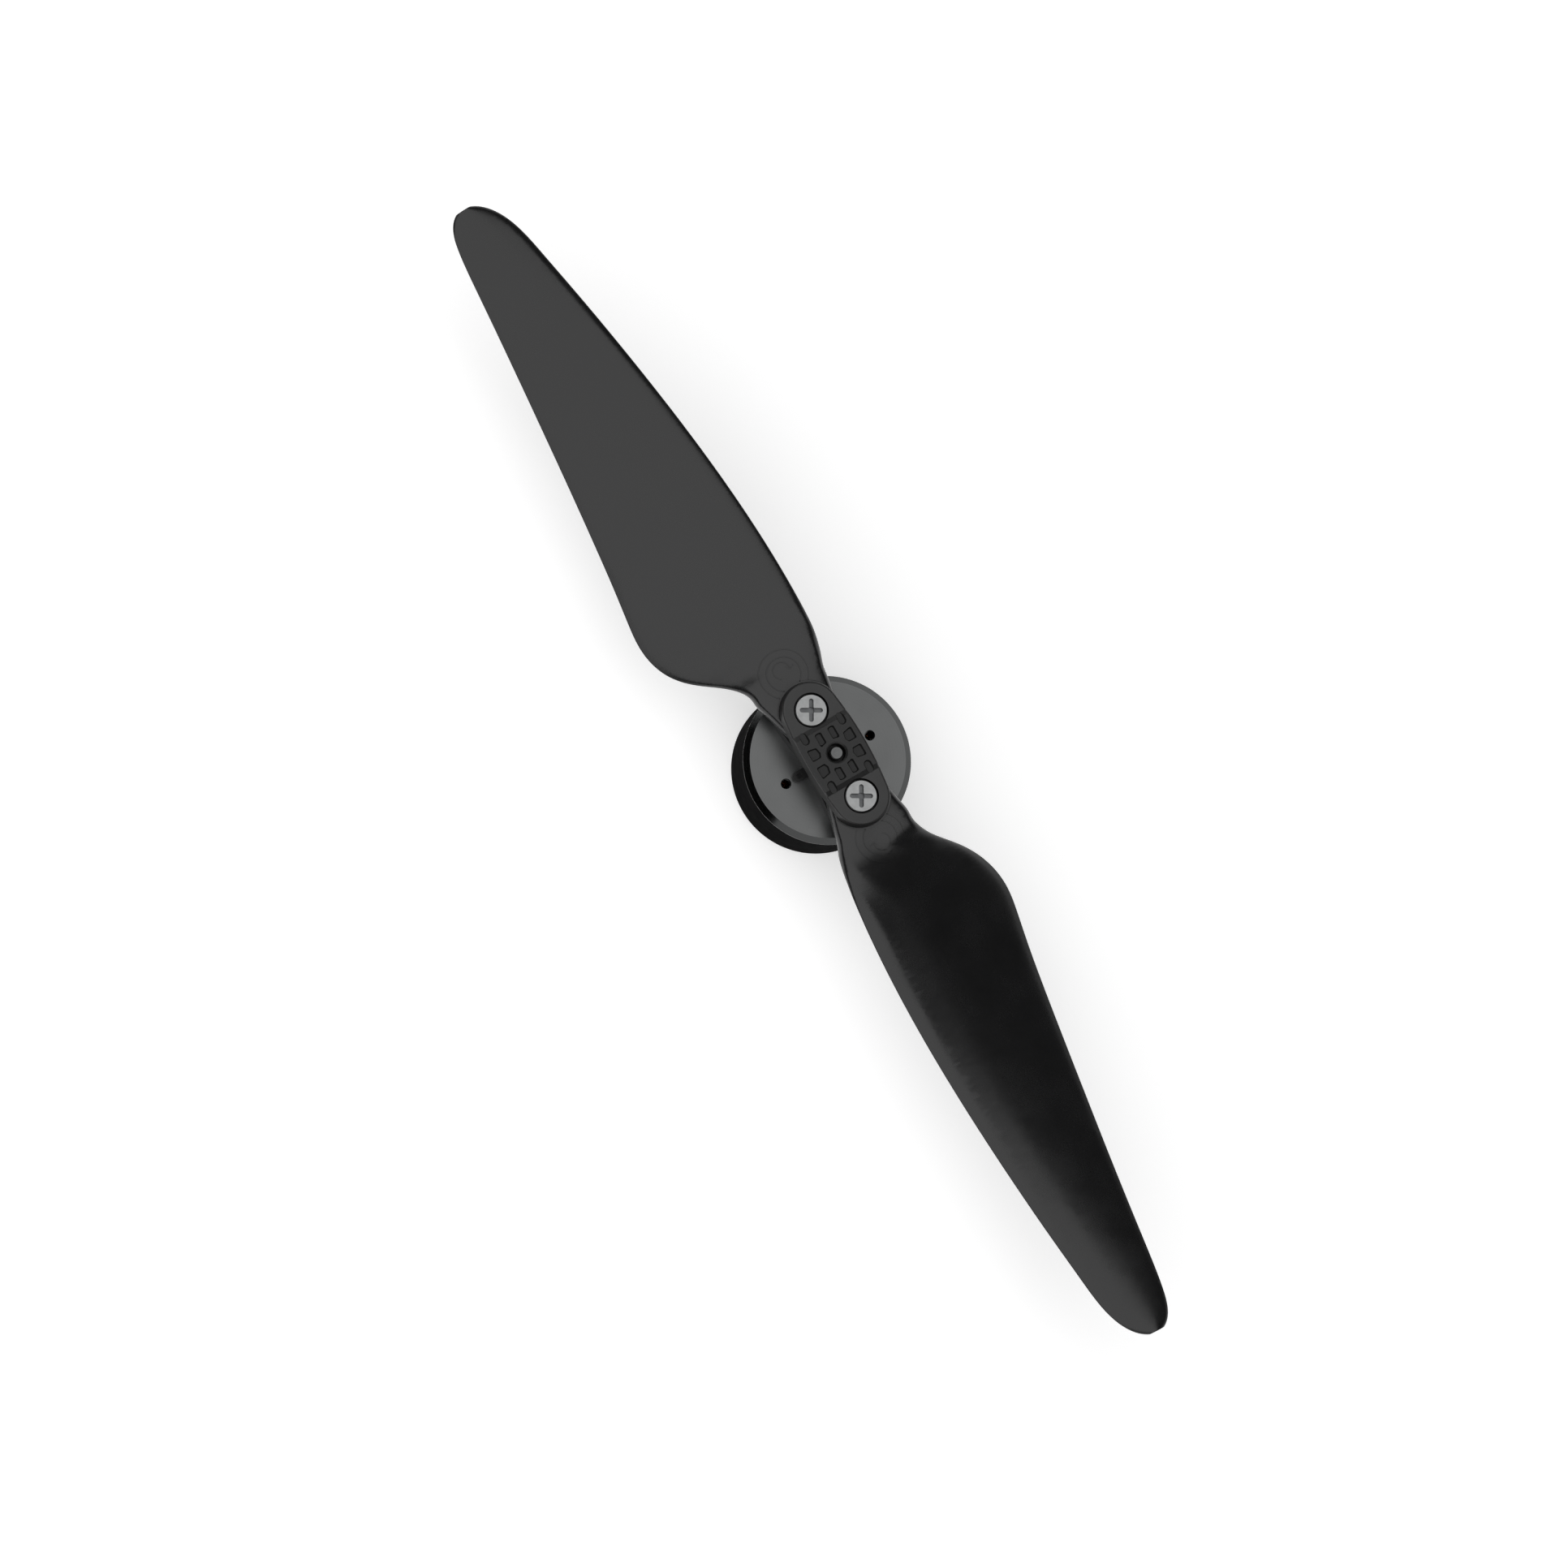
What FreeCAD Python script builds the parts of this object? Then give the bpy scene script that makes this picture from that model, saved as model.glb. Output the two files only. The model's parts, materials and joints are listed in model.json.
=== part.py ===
"""Folding two-blade propeller, clamped by its hub to the bell of a small outrunner motor.

Millimetres, +Z up. The origin is the centre of the motor's mounting face, +Z is the spin axis
and +X runs from it towards the pivot of blade A.
"""
import FreeCAD, Part
import math
import os
from types import SimpleNamespace

import Sketcher
from FreeCAD import Placement, Rotation, Vector

DIMENSIONS = {
    # motor base
    "flange_radius": 10.3, "flange_thick": 2.4, "tube_radius": 3.6, "tube_top": 13.7,
    "core_seat_radius": 4.4, "base_screw_circle": 8.0, "base_screw_angle": 15.0,
    "vent_circle": 6.6, "vent_length": 5.0, "vent_width": 2.0,
    # tapped holes for M2 screws, at their tapping diameter
    "tapped_radius": 0.8,
    # ball bearings, 2 x 5 x 2.5
    "bearing_radius": 2.5, "bearing_width": 2.5, "inner_ring_radius": 1.45, "outer_ring_bore": 2.05,
    "ball_circle": 1.75, "ball_radius": 0.4, "race_play": 0.02, "lower_bearing_z": 1.2,
    "bearing_stop_radius": 2.1,
    # shaft, washers and clip
    "shaft_radius": 1.0, "shaft_foot": 0.3, "shaft_chamfer": 0.15, "clip_groove_radius": 0.7,
    "clip_z": 0.7, "clip_thick": 0.4, "clip_radius": 1.9, "clip_mouth": 1.1, "shaft_sink": 0.1,
    "shim_radius": 1.4, "shim_thick": 0.1,
    # stator
    "core_z": 5.1, "core_height": 7.0, "core_radius": 10.2, "core_rim_radius": 5.6, "tooth_width": 2.2,
    "tooth_root": 0.3, "shoe_thick": 0.9, "shoe_width": 5.4, "shoe_taper": 0.2,
    "coil_build": 0.75, "coil_start": 5.9, "coil_end": 8.8, "coil_corner": 0.7,
    # bell
    "bell_bottom": 3.7, "bell_top": 17.6, "bell_radius": 12.78, "bell_chamfer": 0.92, "bell_land": 0.1,
    "bell_wall": 1.0, "bell_foot_chamfer": 0.25, "cap_thick": 3.0, "cap_boss_radius": 2.2,
    "magnet_bore": 10.5, "magnet_z": 4.6, "magnet_height": 8.0, "magnet_span": 26.0,
    # hub
    "pivot_offset": 7.4, "plate_thick": 2.9, "plate_pad_radius": 4.6, "waist_half": 4.05,
    "waist_end": 2.4, "plate_pad_setback": 0.8, "ear_half": 0.8, "ear_reach": 6.3, "ear_thick": 1.2,
    "notch": 0.7, "notch_at": 5.3, "block_half_length": 2.3, "block_half_width": 4.3, "block_nose": 0.7,
    "eye_thick": 2.8, "face_depth": 0.05, "eye_play": 0.05, "washer_thick": 0.2, "washer_radius": 3.9,
    "sleeve_radius": 1.6, "sleeve_bore": 1.05, "eye_bore": 1.63,
    "cap_pad_thick": 2.1, "cap_pad_radius": 4.27, "cap_half_width": 4.8, "cap_draft": 6.0,
    "cap_edge_round": 0.3, "panel_rise": 0.4, "panel_half_length": 4.3, "panel_slope": 0.75,
    "hub_hole_radius": 1.4, "hub_hole_ring": 1.68, "clearance_radius": 1.1,
    # pockets that leave the lattice of ribs on the hub's panel: slots, inner cells and side cells
    "pocket_depth": 0.5, "pocket_draft": 18.0, "pocket_corner": 0.25,
    "slot_x": 4.2, "slot_y": 3.2, "slot_reach": 0.45, "slot_radius": 0.6,
    "cell_start": 1.75, "cell_foot": 2.05, "cell_notch": 1.95, "cell_end": 3.85, "cell_tip": 3.95,
    "cell_low": 0.55, "cell_middle": 1.1, "cell_high": 1.65,
    "side_start": 0.5, "side_knee": 1.15, "side_shoulder": 2.15, "side_end": 2.45,
    "side_low": 2.15, "side_middle": 2.35, "side_near": 2.45, "side_far": 3.85,
    # pivot screws, M2 with a wide flat head
    "head_radius": 2.45, "head_thick": 1.35, "head_sink": 0.05, "head_chamfer": 0.15,
    "counterbore_radius": 2.65, "screw_engaged": 2.6, "recess_reach": 1.75, "recess_width": 0.7,
    "recess_depth": 0.7, "recess_centre": 1.1, "recess_well": 0.56, "recess_turn": -30.0,
    "thread_chamfer": 0.2,
    # blades
    "eye_radius": 4.8, "neck_spread": 12.5, "twist_start": 5.0, "blade_reach": 91.1,
    "blade_sweep": 3.0, "blade_lag": 0.35, "leading_rise": 1.5, "cone_angle": 1.3, "rise_length": 6.5,
    "aerofoil_length": 15.0, "slab_end_round": 1.0, "camber": 0.3, "edge_thinning": 0.3,
    # how far a cutting tool runs past what it cuts
    "overcut": 1.0,
}
# two places closer than this are the same place
TOUCH = 0.01
MAGNETS = 12
TEETH = 9
BALLS = 6
BASE_SCREWS = 4
BELL_SCREWS = 4

doc = FreeCAD.newDocument("folding_propeller")
sheet = doc.addObject("Spreadsheet::Sheet", "Sizes")
for row, (alias, number) in enumerate(DIMENSIONS.items(), start=1):
    sheet.set(f"A{row}", alias)
    sheet.set(f"B{row}", str(number))
    sheet.setAlias(f"B{row}", alias)
doc.recompute()


class Size:
    """A length that holds both its number and the sheet expression that gives it."""

    def __init__(self, value, text):
        self.value = value
        self.text = text

    def combined(self, other, sign, value):
        return Size(value, f"({self.text} {sign} {as_size(other).text})")

    def __add__(self, other):
        return self.combined(other, "+", self.value + as_size(other).value)

    def __sub__(self, other):
        return self.combined(other, "-", self.value - as_size(other).value)

    def __mul__(self, other):
        return self.combined(other, "*", self.value * as_size(other).value)

    def __truediv__(self, other):
        return self.combined(other, "/", self.value / as_size(other).value)

    def __neg__(self):
        return Size(-self.value, f"(0 - {self.text})")


def as_size(number):
    return number if isinstance(number, Size) else Size(number, str(number))


mm = SimpleNamespace(**{alias: Size(sheet.get(alias), f"Sizes.{alias}") for alias in DIMENSIONS})
ZERO = as_size(0)
# heights of the stack, from the mounting face up
upper_bearing_z = mm.tube_top - mm.bearing_width
cap_bottom = mm.bell_top - mm.cap_thick
boss_bottom = mm.tube_top + mm.shim_thick
spigot_radius = mm.bell_radius - mm.bell_wall
ring_top = mm.bell_top - mm.bell_chamfer - mm.bell_land
plate_top = mm.bell_top + mm.plate_thick
eye_bottom = plate_top + mm.washer_thick + mm.eye_play
eye_top = eye_bottom + mm.eye_thick
cap_underside = eye_top + mm.eye_play + mm.washer_thick
pad_top = cap_underside + mm.cap_pad_thick
panel_top = pad_top + mm.panel_rise
head_top = pad_top - mm.head_sink
head_seat = head_top - mm.head_thick

subparts = []


def keep(part, label):
    """Gives a finished sub-part its own label, which is also its file name."""
    part.Label = label
    subparts.append(part)
    return part


def bind(part, **sizes):
    """Binds properties of an object to the sheet; Placement_x, _y and _z move it."""
    for name, size in sizes.items():
        path = name.replace("Placement_", "Placement.Base.")
        part.setExpression(path, as_size(size).text)
    return part


# ---------------------------------------------------------------- sketches and features
def new_body(label):
    return keep(doc.addObject("PartDesign::Body", label + "_body"), label)


def origin_feature(body, role):
    return next(item for item in body.Origin.OriginFeatures if item.Role == role)


def new_sketch(body, name, plane="XY_Plane", height=ZERO):
    """A sketch on one of the body's own planes, lifted along that plane's normal."""
    sketch = body.newObject("Sketcher::SketchObject", name)
    sketch.AttachmentSupport = (origin_feature(body, plane), [""])
    sketch.MapMode = "FlatFace"
    sketch.setExpression("AttachmentOffset.Base.z", as_size(height).text)
    return sketch


def dimension(sketch, kind, *reference, size):
    index = sketch.addConstraint(Sketcher.Constraint(kind, *reference, size.value))
    sketch.setExpression(f"Constraints[{index}]", size.text)


def pin_point(sketch, geometry, end, point):
    """Fixes one end of a sketch element at sheet-driven coordinates."""
    for kind, size in zip(("DistanceX", "DistanceY"), map(as_size, point)):
        dimension(sketch, kind, -1, 1, geometry, end, size=size)


def flat(point):
    return Vector(as_size(point[0]).value, as_size(point[1]).value, 0)


def same_place(one, other):
    return (flat(one) - flat(other)).Length < TOUCH / 1000


def outline_segments(start, steps):
    """Splits an outline into (begin, middle of an arc or None, end), anticlockwise."""
    segments = []
    here = start
    for step in steps:
        middle, end = step if isinstance(step[0], tuple) else (None, step)
        segments.append((here, middle, end))
        here = end
    if not same_place(here, start):
        segments.append((here, None, start))
    area = sum(flat(begin).x * flat(end).y - flat(end).x * flat(begin).y for begin, _, end in segments)
    if area < 0:
        segments = [(end, middle, begin) for begin, middle, end in reversed(segments)]
    return segments


def draw_outline(sketch, start, *steps):
    """A closed outline: each step is an end point, or a (middle, end) pair for an arc."""
    segments = outline_segments(start, steps)
    pieces = []
    for begin, middle, end in segments:
        if middle is None:
            pieces.append(sketch.addGeometry(Part.LineSegment(flat(begin), flat(end)), False))
            continue
        piece = sketch.addGeometry(Part.Arc(flat(begin), flat(middle), flat(end)), False)
        pieces.append(piece)
        mark = sketch.addGeometry(Part.Point(flat(middle)), True)
        pin_point(sketch, mark, 1, middle)
        sketch.addConstraint(Sketcher.Constraint("PointOnObject", mark, 1, piece))
    for (begin, _, _), piece, previous in zip(segments, pieces, pieces[-1:] + pieces):
        pin_point(sketch, piece, 1, begin)
        sketch.addConstraint(Sketcher.Constraint("Coincident", previous, 2, piece, 1))
    return sketch


def draw_circle(sketch, centre, radius):
    piece = sketch.addGeometry(Part.Circle(flat(centre), Vector(0, 0, 1), radius.value), False)
    dimension(sketch, "Radius", piece, size=radius)
    pin_point(sketch, piece, 3, centre)
    return sketch


def mirrored(points, x_sign, y_sign):
    """The same outline in another quadrant, with middles of arcs kept."""
    def flip(point):
        if isinstance(point[0], tuple):
            return tuple(flip(each) for each in point)
        x, y = map(as_size, point)
        return (x if x_sign > 0 else -x, y if y_sign > 0 else -y)
    return [flip(point) for point in points]


def grow(body, kind, sketch, length, **settings):
    """Pads or pockets a sketch and checks that material was really added or removed."""
    before = body.Shape.Volume if body.Tip else 0.0
    feature = body.newObject(kind, sketch.Name + "_" + kind.split("::")[1].lower())
    feature.Profile = sketch
    for name, setting in settings.items():
        setattr(feature, name, setting)
    if length is not None:
        feature.setExpression("Length", length.text)
    doc.recompute()
    change = body.Shape.Volume - before
    grows = kind.endswith(("Pad", "Revolution"))
    if (change <= 0) if grows else (change >= 0):
        raise RuntimeError(f"{feature.Name} changed the volume by {change:.3f}")
    return feature


def pad(body, sketch, length, **settings):
    return grow(body, "PartDesign::Pad", sketch, length, **settings)


def pocket(body, sketch, length=None, **settings):
    if length is None:
        settings["Type"] = "ThroughAll"
    return grow(body, "PartDesign::Pocket", sketch, length, **settings)


def turned(body, name, *profile):
    """Revolves a (radius, height) profile about the spin axis."""
    sketch = draw_outline(new_sketch(body, name, "XZ_Plane"), *profile)
    feature = grow(body, "PartDesign::Revolution", sketch, None,
                   ReferenceAxis=(sketch, ["V_Axis"]), Angle=360.0)
    return feature


def polar(body, feature, count):
    """Repeats a feature round the spin axis; the pattern becomes the body's tip."""
    pattern = body.newObject("PartDesign::PolarPattern", feature.Name + "_round")
    pattern.Originals = [feature]
    pattern.Axis = (origin_feature(body, "Z_Axis"), [""])
    pattern.Angle = 360.0
    pattern.Occurrences = count
    body.Tip = pattern
    doc.recompute()
    return pattern


def round_edges(body, feature, name, radius, wanted):
    """Fillets the edges whose middle point satisfies a test."""
    edges = [f"Edge{number}" for number, edge in enumerate(feature.Shape.Edges, start=1)
             if wanted(edge.valueAt((edge.FirstParameter + edge.LastParameter) / 2))]
    fillet = body.newObject("PartDesign::Fillet", name)
    fillet.Base = (feature, edges)
    fillet.setExpression("Radius", radius.text)
    doc.recompute()
    return fillet


# ---------------------------------------------------------------- primitives and booleans
def cylinder(name, radius, height, z=ZERO, x=ZERO):
    part = doc.addObject("Part::Cylinder", name)
    return bind(part, Radius=radius, Height=height, Placement_z=z, Placement_x=x)


def cut(name, base, tool):
    part = doc.addObject("Part::Cut", name)
    part.Base = base
    part.Tool = tool
    return part


def tube(name, radius, bore, height, z, x=ZERO):
    """A plain ring: a washer, a sleeve or the blank of a bearing ring."""
    return cut(name, cylinder(name + "_outer", radius, height, z, x),
               cylinder(name + "_bore", bore, height, z, x))


# ---------------------------------------------------------------- motor base
def make_motor_base():
    body = new_body("motor_base")
    turned(body, "base_profile",
           (mm.bearing_radius, ZERO), (mm.flange_radius, ZERO), (mm.flange_radius, mm.flange_thick),
           (mm.core_seat_radius, mm.flange_thick), (mm.core_seat_radius, mm.core_z),
           (mm.tube_radius, mm.core_z), (mm.tube_radius, mm.tube_top),
           (mm.bearing_radius, mm.tube_top), (mm.bearing_radius, upper_bearing_z),
           (mm.bearing_stop_radius, upper_bearing_z),
           (mm.bearing_stop_radius, mm.lower_bearing_z + mm.bearing_width),
           (mm.bearing_radius, mm.lower_bearing_z + mm.bearing_width))
    angle = math.radians(mm.base_screw_angle.value)
    hole = new_sketch(body, "base_screw_hole")
    at = (mm.base_screw_circle * round(math.cos(angle), 6),
          mm.base_screw_circle * round(math.sin(angle), 6))
    draw_circle(hole, at, mm.tapped_radius)
    polar(body, pocket(body, hole, mm.flange_thick, Reversed=True), BASE_SCREWS)
    # four slots let the coil wires out towards the arm and cooling air in
    near = mm.vent_circle - mm.vent_width / 2
    far = mm.vent_circle + mm.vent_width / 2
    half = mm.vent_length / 2 - mm.vent_width / 2
    slot = new_sketch(body, "vent_slot")
    slot.setExpression("AttachmentOffset.Rotation.Angle", (mm.base_screw_angle + 45).text)
    draw_outline(slot, (near, -half),
                 ((mm.vent_circle, -half - mm.vent_width / 2), (far, -half)), (far, half),
                 ((mm.vent_circle, half + mm.vent_width / 2), (near, half)))
    polar(body, pocket(body, slot, mm.flange_thick, Reversed=True), BASE_SCREWS)


# ---------------------------------------------------------------- bearings
def make_bearing(place, z):
    """Two grooved rings with loose balls between them."""
    middle = z + mm.bearing_width / 2
    rings = (("outer_ring", mm.bearing_radius, mm.outer_ring_bore),
             ("inner_ring", mm.inner_ring_radius, mm.shaft_radius))
    for piece, radius, bore in rings:
        name = f"{place}_bearing_{piece}"
        blank = tube(name + "_blank", radius, bore, mm.bearing_width, z)
        groove = doc.addObject("Part::Torus", name + "_groove")
        bind(groove, Radius1=mm.ball_circle, Radius2=mm.ball_radius + mm.race_play, Placement_z=middle)
        keep(cut(name, blank, groove), name)
    balls = []
    for index in range(BALLS):
        turn = 2 * math.pi * index / BALLS
        ball = doc.addObject("Part::Sphere", f"{place}_ball_{index + 1}")
        bind(ball, Radius=mm.ball_radius, Placement_x=mm.ball_circle * round(math.cos(turn), 6),
             Placement_y=mm.ball_circle * round(math.sin(turn), 6), Placement_z=middle)
        balls.append(ball)
    group = doc.addObject("Part::Compound", f"{place}_bearing_balls")
    group.Links = balls
    keep(group, f"{place}_bearing_balls")


# ---------------------------------------------------------------- stator
def make_stator_core():
    """Stack of laminations: a rim on the bearing tube and nine teeth with pole shoes."""
    body = new_body("stator_core")
    rim = draw_circle(new_sketch(body, "core_rim", height=mm.core_z), (ZERO, ZERO), mm.core_rim_radius)
    draw_circle(rim, (ZERO, ZERO), mm.tube_radius)
    pad(body, rim, mm.core_height)
    half = mm.tooth_width / 2
    wing = mm.shoe_width / 2
    shoe = mm.core_radius - mm.shoe_thick
    root = mm.core_rim_radius - mm.tooth_root
    neck = shoe - mm.shoe_taper
    corner = math.sqrt(mm.core_radius.value ** 2 - wing.value ** 2)
    tooth = new_sketch(body, "core_tooth", height=mm.core_z)
    face = as_size(round(corner, 6))
    draw_outline(tooth, (root, -half), (shoe, -half), (neck, -wing), (face, -wing),
                 ((mm.core_radius, ZERO), (face, wing)), (neck, wing), (shoe, half), (root, half))
    polar(body, pad(body, tooth, mm.core_height), TEETH)


def make_windings():
    """One coil of enamelled copper wire round each tooth, drawn as its outer shape."""
    length = mm.coil_end - mm.coil_start
    for index in range(TEETH):
        name = f"winding_{index + 1}"
        outer = doc.addObject("Part::Box", name + "_outside")
        bind(outer, Length=length, Width=mm.tooth_width + mm.coil_build * 2,
             Height=mm.core_height + mm.coil_build * 2, Placement_x=mm.coil_start,
             Placement_y=-mm.tooth_width / 2 - mm.coil_build, Placement_z=mm.core_z - mm.coil_build)
        rounded = doc.addObject("Part::Fillet", name + "_rounded")
        rounded.Base = outer
        doc.recompute()
        along = [number for number, edge in enumerate(outer.Shape.Edges, start=1)
                 if abs(edge.tangentAt(edge.FirstParameter).x) > 0.9]
        corner = mm.coil_corner.value
        rounded.Edges = [(number, corner, corner) for number in along]
        inner = doc.addObject("Part::Box", name + "_tooth_space")
        bind(inner, Length=length, Width=mm.tooth_width, Height=mm.core_height,
             Placement_x=mm.coil_start, Placement_y=-mm.tooth_width / 2, Placement_z=mm.core_z)
        coil = cut(name, rounded, inner)
        coil.Placement = Placement(Vector(), Rotation(Vector(0, 0, 1), 360 * index / TEETH))
        keep(coil, name)


# ---------------------------------------------------------------- shaft and what holds it
def make_shaft():
    body = new_body("motor_shaft")
    top = panel_top - mm.shaft_sink
    groove_top = mm.clip_z + mm.clip_thick
    turned(body, "shaft_profile",
           (ZERO, mm.shaft_foot), (mm.shaft_radius - mm.shaft_chamfer, mm.shaft_foot),
           (mm.shaft_radius, mm.shaft_foot + mm.shaft_chamfer), (mm.shaft_radius, mm.clip_z),
           (mm.clip_groove_radius, mm.clip_z), (mm.clip_groove_radius, groove_top),
           (mm.shaft_radius, groove_top), (mm.shaft_radius, top - mm.shaft_chamfer),
           (mm.shaft_radius - mm.shaft_chamfer, top), (ZERO, top))


def make_retaining_clip():
    """Spring-steel E-clip in the groove at the foot of the shaft."""
    body = new_body("retaining_clip")
    ring = draw_circle(new_sketch(body, "clip_ring", height=mm.clip_z), (ZERO, ZERO), mm.clip_radius)
    draw_circle(ring, (ZERO, ZERO), mm.clip_groove_radius)
    pad(body, ring, mm.clip_thick)
    half = mm.clip_mouth / 2
    mouth = new_sketch(body, "clip_mouth", height=mm.clip_z)
    reach = mm.clip_radius + mm.overcut
    draw_outline(mouth, (ZERO, -half), (reach, -half), (reach, half), (ZERO, half))
    pocket(body, mouth, mm.clip_thick, Reversed=True)


def make_shims():
    lower_z = mm.lower_bearing_z - mm.shim_thick
    for name, z in (("shim_washer_lower", lower_z), ("shim_washer_upper", mm.tube_top)):
        keep(tube(name, mm.shim_radius, mm.shaft_radius, mm.shim_thick, z), name)


# ---------------------------------------------------------------- bell
def make_bell_cap():
    """Turned aluminium top of the bell, with a boss on the shaft and four tapped holes."""
    body = new_body("bell_cap")
    turned(body, "cap_profile",
           (mm.shaft_radius, boss_bottom), (mm.cap_boss_radius, boss_bottom),
           (mm.cap_boss_radius, cap_bottom), (spigot_radius, cap_bottom), (spigot_radius, ring_top),
           (mm.bell_radius, ring_top),
           (mm.bell_radius, ring_top + mm.bell_land), (mm.bell_radius - mm.bell_chamfer, mm.bell_top),
           (mm.shaft_radius, mm.bell_top))
    hole = draw_circle(new_sketch(body, "bell_screw_hole", height=mm.bell_top),
                       (mm.pivot_offset, ZERO), mm.tapped_radius)
    polar(body, pocket(body, hole, mm.cap_thick), BELL_SCREWS)


def make_flux_ring():
    body = new_body("flux_ring")
    turned(body, "ring_profile",
           (spigot_radius, mm.bell_bottom), (mm.bell_radius - mm.bell_foot_chamfer, mm.bell_bottom),
           (mm.bell_radius, mm.bell_bottom + mm.bell_foot_chamfer), (mm.bell_radius, ring_top),
           (spigot_radius, ring_top))


def make_magnets():
    """Curved magnets glued side by side to the inside of the flux ring."""
    for index in range(MAGNETS):
        name = f"magnet_{index + 1:02d}"
        sector = cylinder(name + "_sector", spigot_radius, mm.magnet_height, mm.magnet_z)
        bind(sector, Angle=mm.magnet_span)
        bore = cylinder(name + "_bore", mm.magnet_bore, mm.magnet_height, mm.magnet_z)
        magnet = cut(name, sector, bore)
        magnet.Placement = Placement(Vector(), Rotation(Vector(0, 0, 1), 360 * index / MAGNETS))
        keep(magnet, name)


# ---------------------------------------------------------------- hub
def make_hub_base():
    """Lower clamp: a plate on the bell with two ears, and a block that carries the cap."""
    body = new_body("hub_base")
    setback = mm.plate_pad_setback
    pad_y = as_size(round(math.sqrt(mm.plate_pad_radius.value ** 2 - setback.value ** 2), 6))
    pad_x = mm.pivot_offset - setback
    nose = mm.ear_reach - mm.ear_half
    right = [(pad_x, pad_y), (mm.waist_end, mm.waist_half)]
    left = mirrored(right, -1, 1)[::-1]
    left_low = mirrored(right, -1, -1)
    right_low = mirrored(right, 1, -1)[::-1]
    far = mm.pivot_offset + mm.plate_pad_radius
    plate = new_sketch(body, "plate_outline", height=mm.bell_top)
    draw_outline(plate, *right, *left, ((-far, ZERO), left_low[0]), *left_low[1:], *right_low,
                 ((far, ZERO), right[0]))
    pad(body, plate, mm.plate_thick)
    # a thin ear on each side reaches to one of the bell's open holes
    ears = new_sketch(body, "ear_outline", height=mm.bell_top)
    draw_outline(ears, (-mm.ear_half, -nose), ((ZERO, -mm.ear_reach), (mm.ear_half, -nose)),
                 (mm.ear_half, nose), ((ZERO, mm.ear_reach), (-mm.ear_half, nose)))
    pad(body, ears, mm.ear_thick)
    # the block stands between the blade eyes, inside what the folding blades leave free
    block = new_sketch(body, "block_outline", height=plate_top)
    length, width, tip = mm.block_half_length, mm.block_half_width, mm.block_nose
    draw_outline(block, (length, ZERO), (tip, width), (-tip, width), (-length, ZERO),
                 (-tip, -width), (tip, -width))
    pad(body, block, cap_underside - plate_top)
    holes = new_sketch(body, "plate_holes", height=mm.bell_top)
    draw_circle(holes, (ZERO, ZERO), mm.shaft_radius)
    for side in (1, -1):
        draw_circle(holes, (mm.pivot_offset * side, ZERO), mm.clearance_radius)
    pocket(body, holes, Reversed=True)
    notches = new_sketch(body, "ear_notches", height=mm.bell_top + mm.ear_thick)
    half = mm.notch / 2
    for side in (1, -1):
        low = mm.notch_at * side - half
        high = mm.notch_at * side + half
        draw_outline(notches, (-half, low), (half, low), (half, high), (-half, high))
    pocket(body, notches, mm.ear_thick / 2)


def panel_pockets():
    """The pockets of one quarter of the lattice panel: a slot, an inner cell and a side cell."""
    left, right = mm.slot_x - mm.slot_reach, mm.slot_x + mm.slot_reach
    low, high = mm.slot_y - mm.slot_radius, mm.slot_y + mm.slot_radius
    slot = [(left, low), (right, low), ((right + mm.slot_radius, mm.slot_y), (right, high)),
            (left, high), ((left - mm.slot_radius, mm.slot_y), (left, low))]
    inner = [(mm.cell_foot, mm.cell_low), (mm.cell_end, mm.cell_low),
             (mm.cell_tip, mm.cell_middle), (mm.cell_end, mm.cell_high),
             (mm.cell_start, mm.cell_high), (mm.cell_notch, mm.cell_middle)]
    side = [(mm.side_start, mm.side_near), (mm.side_knee, mm.side_low), (mm.side_shoulder, mm.side_middle),
            (mm.side_end, mm.side_far), (mm.side_start, mm.side_far)]
    return slot, inner, side


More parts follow.
